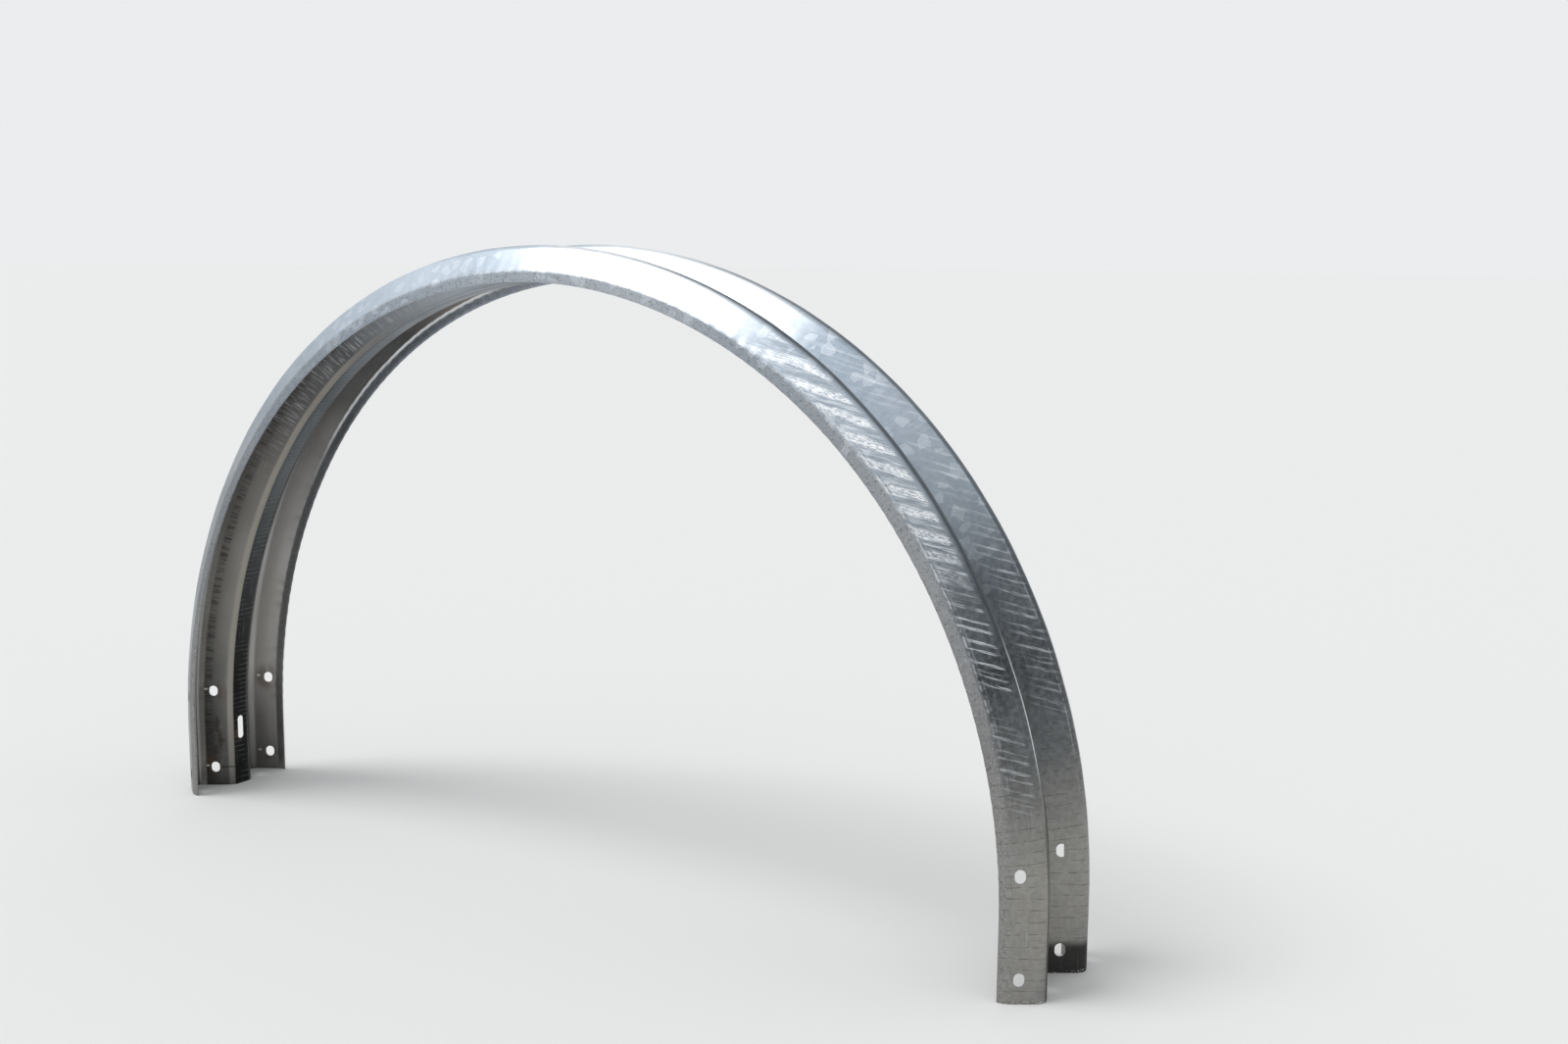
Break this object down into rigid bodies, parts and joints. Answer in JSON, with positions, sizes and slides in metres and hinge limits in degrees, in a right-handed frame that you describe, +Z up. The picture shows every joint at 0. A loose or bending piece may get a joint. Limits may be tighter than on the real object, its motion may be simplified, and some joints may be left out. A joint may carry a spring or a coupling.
{
  "type": "highway guardrail panel bent to an arch",
  "caption": "Galvanised steel W-beam highway guardrail panel bent into a freestanding arch, with slotted bolt holes at both ends.",
  "frame": {"origin": "on the ground, midway between the two feet and on the beam's centre line", "axes": "+X along the span from one foot to the other, +Y across the beam, +Z up"},
  "size_m": [2.5726, 0.311, 1.4934],
  "materials": {
    "galvanised_steel": "hot-dip galvanised sheet, dulled and scuffed"
  },
  "bodies": {
    "root": {"rail": "galvanised_steel"}
  },
  "joints": []
}
